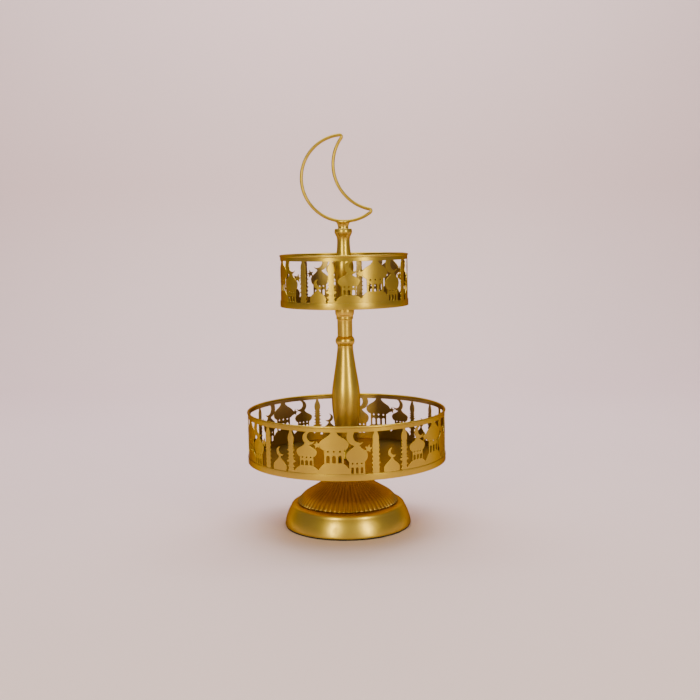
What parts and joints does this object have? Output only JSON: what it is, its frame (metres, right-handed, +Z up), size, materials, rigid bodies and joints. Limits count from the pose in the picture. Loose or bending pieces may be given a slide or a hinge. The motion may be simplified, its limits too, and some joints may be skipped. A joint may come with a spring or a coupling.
{
  "type": "tiered serving stand",
  "caption": "Two-tier metal serving stand with pierced galleries round its trays, a baluster column, a fluted round foot and an open crescent finial.",
  "frame": {"origin": "centre of the foot's underside", "axes": "+Z up along the column, -Y to the front, where the crescent's face is seen opening to +X"},
  "size_m": [0.2502, 0.2502, 0.4905],
  "materials": {
    "gold_plate": "satin gold plating on steel sheet and wire",
    "pad_rubber": "matte black",
    "plain_steel": "zinc-plated steel",
    "bush_brass": "machined brass",
    "clear_nylon": "translucent nylon"
  },
  "bodies": {
    "stand": {"foot_pad_ring": "pad_rubber", "foot_base_ring": "gold_plate", "foot_fluted_cone": "gold_plate", "foot_ballast_plate": "plain_steel", "foot_clamp_cup": "plain_steel", "foot_flat_washer": "plain_steel", "foot_spring_washer": "plain_steel", "foot_bolt": "plain_steel", "lower_tray_gasket": "clear_nylon", "lower_tray_top_gasket": "clear_nylon", "vase_column": "gold_plate", "vase_bottom_insert": "bush_brass", "vase_top_insert": "bush_brass", "column_stud": "plain_steel", "column_collar": "gold_plate", "neck_column": "gold_plate", "neck_bottom_insert": "bush_brass", "neck_top_insert": "bush_brass", "upper_tray_stud": "plain_steel", "upper_tray_gasket": "clear_nylon", "upper_tray_top_gasket": "clear_nylon", "top_column": "gold_plate", "top_column_bottom_insert": "bush_brass", "top_column_top_insert": "bush_brass"},
    "lower_tray": {"lower_tray_floor": "gold_plate", "lower_tray_base_hoop": "gold_plate", "lower_tray_band": "gold_plate", "lower_tray_rim": "gold_plate"},
    "upper_tray": {"upper_tray_floor": "gold_plate", "upper_tray_base_hoop": "gold_plate", "upper_tray_band": "gold_plate", "upper_tray_rim": "gold_plate"},
    "finial_carrier": {"finial_washer": "bush_brass"},
    "finial": {"finial_ferrule": "gold_plate", "finial_stud": "plain_steel", "crescent_wire": "gold_plate"}
  },
  "joints": [
    {"name": "lower_tray_turn", "type": "hinge", "parent": "stand", "child": "lower_tray", "pos_m": [0, 0, 0.085], "axis": [0, 0, 1], "continuous": true},
    {"name": "upper_tray_turn", "type": "hinge", "parent": "stand", "child": "upper_tray", "pos_m": [0, 0, 0.2795], "axis": [0, 0, 1], "continuous": true},
    {"name": "finial_rise", "type": "slide", "parent": "stand", "child": "finial_carrier", "axis": [0, 0, 1], "range_m": [0, 0.0076]},
    {"name": "finial_turn", "type": "hinge", "parent": "finial_carrier", "child": "finial", "pos_m": [0, 0, 0.3745], "axis": [0, 0, 1], "range_deg": [0, 2700]}
  ],
  "couplings": [
    {"joint": "finial_rise", "follows": "finial_turn", "m_per_rad": 0.00015915}
  ]
}
